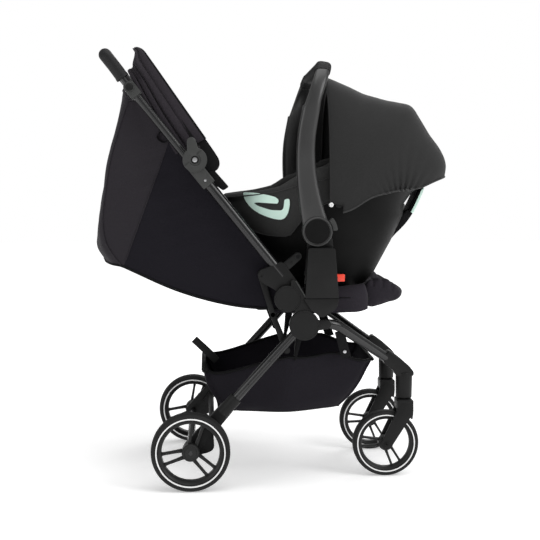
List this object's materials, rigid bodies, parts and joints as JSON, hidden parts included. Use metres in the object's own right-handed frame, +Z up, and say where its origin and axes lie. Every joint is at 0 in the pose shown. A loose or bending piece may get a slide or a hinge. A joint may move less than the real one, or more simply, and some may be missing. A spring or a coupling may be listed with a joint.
{
  "type": "pushchair",
  "caption": "Compact folding pushchair with telescoping handle, folding hood, fabric seat and basket, and an infant carrier clipped on side adapters",
  "frame": {"origin": "centre of the footprint box, on the ground the wheels stand on", "axes": "+X the way the pushchair rolls forward (towards the castors), +Y its left side, +Z up"},
  "size_m": [0.8204, 0.5042, 0.9837],
  "materials": {
    "black_paint": "satin",
    "dark_plastic": "matte",
    "grey_plastic": "matte",
    "grip_foam": "matte",
    "black_fabric": "matte",
    "panel_fabric": "matte",
    "canopy_fabric": "matte",
    "tyre": "matte",
    "red_plastic": "satin",
    "mint_plastic": "satin"
  },
  "bodies": {
    "frame": {"side_frame_right": "dark_plastic", "side_frame_left": "dark_plastic", "main_cross_shaft": "black_paint", "front_leg_right": "black_paint", "front_leg_left": "black_paint", "seat_base": "dark_plastic", "seat_pad": "black_fabric", "basket": "black_fabric", "carrier_adapter_right": "dark_plastic", "carrier_adapter_left": "dark_plastic"},
    "handle_frame": {"tube_bracket_right": "dark_plastic", "tube_bracket_left": "dark_plastic", "main_tube_right": "black_paint", "main_tube_left": "black_paint", "seat_bag": "panel_fabric"},
    "rear_legs": {"rear_leg_right": "black_paint", "rear_leg_left": "black_paint", "wheel_housing_right": "dark_plastic", "wheel_housing_left": "dark_plastic", "rear_axle": "black_paint"},
    "link_bars": {"link_bar_right": "dark_plastic", "link_bar_left": "dark_plastic"},
    "handle_extension": {"upper_tube_right": "black_paint", "upper_tube_left": "black_paint", "handle_collar_right": "grey_plastic", "handle_collar_left": "grey_plastic"},
    "handlebar": {"handlebar": "black_paint", "handle_grip": "grip_foam"},
    "handle_button_right": {"handle_button_right": "grey_plastic"},
    "handle_button_left": {"handle_button_left": "grey_plastic"},
    "hood": {"hood_hinge_right": "grey_plastic", "hood_hinge_left": "grey_plastic", "hood_bow": "black_paint", "hood_fabric": "black_fabric"},
    "backrest": {"backrest_board": "dark_plastic", "backrest_pad": "black_fabric"},
    "leg_rest": {"leg_rest": "black_fabric"},
    "brake_pedal": {"brake_pedal": "dark_plastic"},
    "rear_wheel_right": {"rear_tyre_right": "tyre", "rear_rim_right": "dark_plastic"},
    "rear_wheel_left": {"rear_tyre_left": "tyre", "rear_rim_left": "dark_plastic"},
    "castor_right": {"castor_fork_right": "dark_plastic"},
    "castor_left": {"castor_fork_left": "dark_plastic"},
    "front_wheel_right": {"front_tyre_right": "tyre", "front_rim_right": "dark_plastic"},
    "front_wheel_left": {"front_tyre_left": "tyre", "front_rim_left": "dark_plastic"},
    "carrier": {"carrier_shell": "dark_plastic", "carrier_cover": "canopy_fabric", "carrier_headrest": "black_fabric", "belt_guide_right": "mint_plastic", "belt_guide_left": "mint_plastic", "carrier_canopy": "canopy_fabric"},
    "canopy_bow": {"canopy_bow": "dark_plastic"},
    "carrier_handle": {"carrier_handle": "dark_plastic"},
    "handle_tab_right": {"handle_tab_right": "grey_plastic"},
    "handle_tab_left": {"handle_tab_left": "grey_plastic"},
    "release_button_right": {"release_button_right": "red_plastic"},
    "release_button_left": {"release_button_left": "red_plastic"}
  },
  "joints": [
    {"name": "frame_fold", "type": "hinge", "parent": "frame", "child": "handle_frame", "pos_m": [0.0218, 0, 0.425], "axis": [0, -1, 0], "range_deg": [0, 55], "deforming": ["seat_bag"]},
    {"name": "rear_leg_fold", "type": "hinge", "parent": "frame", "child": "rear_legs", "pos_m": [0.0588, 0, 0.367], "axis": [0, -1, 0], "range_deg": [0, 60.5]},
    {"name": "link_swing", "type": "hinge", "parent": "handle_frame", "child": "link_bars", "pos_m": [-0.0342, 0, 0.474], "axis": [0, -1, 0], "range_deg": [-19, 0]},
    {"name": "handle_telescope", "type": "slide", "parent": "handle_frame", "child": "handle_extension", "axis": [0.6281, 0, -0.7781], "range_m": [0, 0.15]},
    {"name": "handle_tilt", "type": "hinge", "parent": "handle_extension", "child": "handlebar", "pos_m": [-0.3172, 0, 0.882], "axis": [0, -1, 0], "range_deg": [0, 100]},
    {"name": "handle_button_press_right", "type": "slide", "parent": "handle_extension", "child": "handle_button_right", "axis": [0, 1, 0], "range_m": [0, 0.0025], "stiffness_N_per_m": 300},
    {"name": "handle_button_press_left", "type": "slide", "parent": "handle_extension", "child": "handle_button_left", "axis": [0, -1, 0], "range_m": [0, 0.0025], "stiffness_N_per_m": 300},
    {"name": "hood_turn", "type": "hinge", "parent": "handle_frame", "child": "hood", "pos_m": [-0.1782, 0, 0.727], "axis": [0, 1, 0], "range_deg": [0, 70], "deforming": ["hood_fabric"]},
    {"name": "backrest_recline", "type": "hinge", "parent": "frame", "child": "backrest", "pos_m": [-0.0362, 0, 0.412], "axis": [0, 1, 0], "range_deg": [0, 40], "deforming": ["seat_bag"]},
    {"name": "leg_rest_tilt", "type": "hinge", "parent": "frame", "child": "leg_rest", "pos_m": [0.2108, 0, 0.413], "axis": [0, 1, 0], "range_deg": [0, 45]},
    {"name": "brake_press", "type": "hinge", "parent": "rear_legs", "child": "brake_pedal", "pos_m": [-0.1442, 0, 0.129], "axis": [0, -1, 0], "range_deg": [0, 22]},
    {"name": "rear_wheel_spin_right", "type": "hinge", "parent": "rear_legs", "child": "rear_wheel_right", "pos_m": [-0.1912, -0.2345, 0.0875], "axis": [0, 1, 0], "continuous": true},
    {"name": "rear_wheel_spin_left", "type": "hinge", "parent": "rear_legs", "child": "rear_wheel_left", "pos_m": [-0.1912, 0.2345, 0.0875], "axis": [0, 1, 0], "continuous": true},
    {"name": "castor_swivel_right", "type": "hinge", "parent": "frame", "child": "castor_right", "pos_m": [0.3003, -0.126, 0.181], "axis": [0, 0, 1], "continuous": true},
    {"name": "castor_swivel_left", "type": "hinge", "parent": "frame", "child": "castor_left", "pos_m": [0.3003, 0.126, 0.181], "axis": [0, 0, 1], "continuous": true},
    {"name": "front_wheel_spin_right", "type": "hinge", "parent": "castor_right", "child": "front_wheel_right", "pos_m": [0.2583, -0.126, 0.0765], "axis": [0, 1, 0], "continuous": true},
    {"name": "front_wheel_spin_left", "type": "hinge", "parent": "castor_left", "child": "front_wheel_left", "pos_m": [0.2583, 0.126, 0.0765], "axis": [0, 1, 0], "continuous": true},
    {"name": "carrier_lift", "type": "slide", "parent": "frame", "child": "carrier", "axis": [0, 0, 1], "range_m": [0, 0.15]},
    {"name": "carry_handle_turn", "type": "hinge", "parent": "carrier", "child": "carrier_handle", "pos_m": [0.0878, 0, 0.572], "axis": [0, 1, 0], "range_deg": [-30, 100]},
    {"name": "canopy_turn", "type": "hinge", "parent": "carrier", "child": "canopy_bow", "pos_m": [0.1388, 0, 0.63], "axis": [0, 1, 0], "range_deg": [0, 60], "deforming": ["carrier_canopy"]},
    {"name": "handle_tab_squeeze_right", "type": "slide", "parent": "carrier_handle", "child": "handle_tab_right", "axis": [0, 1, 0], "range_m": [0, 0.0025], "stiffness_N_per_m": 300},
    {"name": "handle_tab_squeeze_left", "type": "slide", "parent": "carrier_handle", "child": "handle_tab_left", "axis": [0, -1, 0], "range_m": [0, 0.0025], "stiffness_N_per_m": 300},
    {"name": "release_press_right", "type": "slide", "parent": "carrier", "child": "release_button_right", "axis": [-1, 0, 0], "range_m": [0, 0.0025], "stiffness_N_per_m": 300},
    {"name": "release_press_left", "type": "slide", "parent": "carrier", "child": "release_button_left", "axis": [-1, 0, 0], "range_m": [0, 0.0025], "stiffness_N_per_m": 300}
  ],
  "couplings": [
    {"joint": "rear_leg_fold", "follows": "frame_fold", "ratio": 1.1},
    {"joint": "link_swing", "follows": "frame_fold", "ratio": -0.34}
  ]
}
